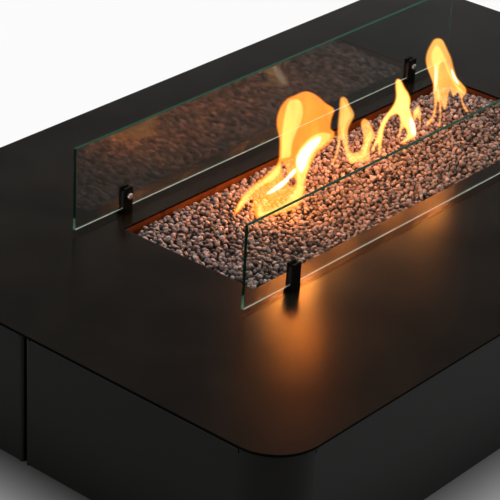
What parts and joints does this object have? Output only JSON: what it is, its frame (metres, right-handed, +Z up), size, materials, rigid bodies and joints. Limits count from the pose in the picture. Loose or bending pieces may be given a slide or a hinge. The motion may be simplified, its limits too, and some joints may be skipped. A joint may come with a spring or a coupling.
{
  "type": "fire pit table",
  "caption": "Low rectangular gas fire pit table: black sheet-steel body on a recessed plinth, lava stone burner, two clear glass wind screens in slotted clips.",
  "frame": {"origin": "on the floor under the middle of the table", "axes": "+X along the long side, +Y towards the rear side with the controls, +Z up"},
  "size_m": [1.6, 1, 0.5048],
  "materials": {
    "black_coat": "satin black powder coat with a fine grain",
    "frame_coat": "matt black powder coat",
    "zinc_steel": "zinc plated",
    "tray_coat": "heat resistant black paint",
    "heat_steel": "stainless steel with heat tint",
    "brass": "turned brass",
    "valve_alloy": "die-cast",
    "pipe_steel": "drawn tube",
    "ceramic": "glazed white",
    "lead_sleeve": "silicone sleeve",
    "lava": "rough porous lava stone",
    "screw_chrome": "polished",
    "black_plastic": "matt moulded",
    "foot_rubber": "moulded rubber",
    "clear_glass": "clear float glass with green edges",
    "pad_rubber": "moulded rubber"
  },
  "bodies": {
    "table": {"base_pan": "frame_coat", "burner_injector": "brass", "burner_pipe": "heat_steel", "burner_saddles": "zinc_steel", "burner_tray": "tray_coat", "clip_screws": "zinc_steel", "control_panel": "black_coat", "feed_pipe": "pipe_steel", "front_left_clip": "black_coat", "front_left_post": "frame_coat", "front_rail": "frame_coat", "front_right_clip": "black_coat", "front_right_post": "frame_coat", "front_shell": "black_coat", "gas_valve": "valve_alloy", "glass_pads": "pad_rubber", "igniter_body": "black_plastic", "ignition_lead": "lead_sleeve", "inlet_fitting": "brass", "inlet_locknut": "zinc_steel", "lava_bed": "lava", "lava_grate": "heat_steel", "left_cross_rail": "frame_coat", "left_seam_strip": "black_coat", "panel_screws": "zinc_steel", "plate_fasteners": "zinc_steel", "plate_spacers": "zinc_steel", "plinth_fasteners": "zinc_steel", "plinth_front": "frame_coat", "plinth_left": "frame_coat", "plinth_rear": "frame_coat", "plinth_right": "frame_coat", "rear_left_clip": "black_coat", "rear_left_post": "frame_coat", "rear_rail": "frame_coat", "rear_right_clip": "black_coat", "rear_right_post": "frame_coat", "rear_shell": "black_coat", "right_cross_rail": "frame_coat", "right_seam_strip": "black_coat", "seam_bolts": "zinc_steel", "spark_electrode": "ceramic", "supply_pipe": "pipe_steel", "thermocouple": "pipe_steel", "thermocouple_lead": "pipe_steel", "top_plate": "black_coat", "tray_fasteners": "zinc_steel"},
    "front_glass": {"front_glass": "clear_glass"},
    "rear_glass": {"rear_glass": "clear_glass"},
    "front_left_screw": {"front_left_screw": "screw_chrome"},
    "front_right_screw": {"front_right_screw": "screw_chrome"},
    "rear_left_screw": {"rear_left_screw": "screw_chrome"},
    "rear_right_screw": {"rear_right_screw": "screw_chrome"},
    "valve_spindle": {"valve_spindle": "valve_alloy"},
    "control_knob": {"control_knob": "black_plastic"},
    "igniter_button": {"igniter_button": "screw_chrome"},
    "front_left_foot": {"front_left_foot": "foot_rubber"},
    "front_right_foot": {"front_right_foot": "foot_rubber"},
    "rear_left_foot": {"rear_left_foot": "foot_rubber"},
    "rear_right_foot": {"rear_right_foot": "foot_rubber"}
  },
  "joints": [
    {"name": "front_glass_lift", "type": "slide", "parent": "table", "child": "front_glass", "axis": [0, 0, 1], "range_m": [0, 0.045]},
    {"name": "rear_glass_lift", "type": "slide", "parent": "table", "child": "rear_glass", "axis": [0, 0, 1], "range_m": [0, 0.045]},
    {"name": "front_left_clamp_turn", "type": "hinge", "parent": "table", "child": "front_left_screw", "pos_m": [-0.398, -0.1725, 0.381], "axis": [0, 1, 0], "continuous": true},
    {"name": "front_right_clamp_turn", "type": "hinge", "parent": "table", "child": "front_right_screw", "pos_m": [0.382, -0.1725, 0.381], "axis": [0, 1, 0], "continuous": true},
    {"name": "rear_left_clamp_turn", "type": "hinge", "parent": "table", "child": "rear_left_screw", "pos_m": [-0.398, 0.1725, 0.381], "axis": [0, 1, 0], "continuous": true},
    {"name": "rear_right_clamp_turn", "type": "hinge", "parent": "table", "child": "rear_right_screw", "pos_m": [0.382, 0.1725, 0.381], "axis": [0, 1, 0], "continuous": true},
    {"name": "spindle_turn", "type": "hinge", "parent": "table", "child": "valve_spindle", "pos_m": [0, 0.465, 0.215], "axis": [0, 1, 0], "range_deg": [0, 180]},
    {"name": "knob_push", "type": "slide", "parent": "valve_spindle", "child": "control_knob", "axis": [0, -1, 0], "range_m": [0, 0.003], "stiffness_N_per_m": 900},
    {"name": "igniter_push", "type": "slide", "parent": "table", "child": "igniter_button", "axis": [0, -1, 0], "range_m": [0, 0.004], "stiffness_N_per_m": 600},
    {"name": "front_left_foot_turn", "type": "hinge", "parent": "table", "child": "front_left_foot", "pos_m": [-0.54, -0.2745, 0.02], "axis": [0, 0, 1], "continuous": true},
    {"name": "front_right_foot_turn", "type": "hinge", "parent": "table", "child": "front_right_foot", "pos_m": [0.54, -0.2745, 0.02], "axis": [0, 0, 1], "continuous": true},
    {"name": "rear_left_foot_turn", "type": "hinge", "parent": "table", "child": "rear_left_foot", "pos_m": [-0.54, 0.2745, 0.02], "axis": [0, 0, 1], "continuous": true},
    {"name": "rear_right_foot_turn", "type": "hinge", "parent": "table", "child": "rear_right_foot", "pos_m": [0.54, 0.2745, 0.02], "axis": [0, 0, 1], "continuous": true}
  ]
}
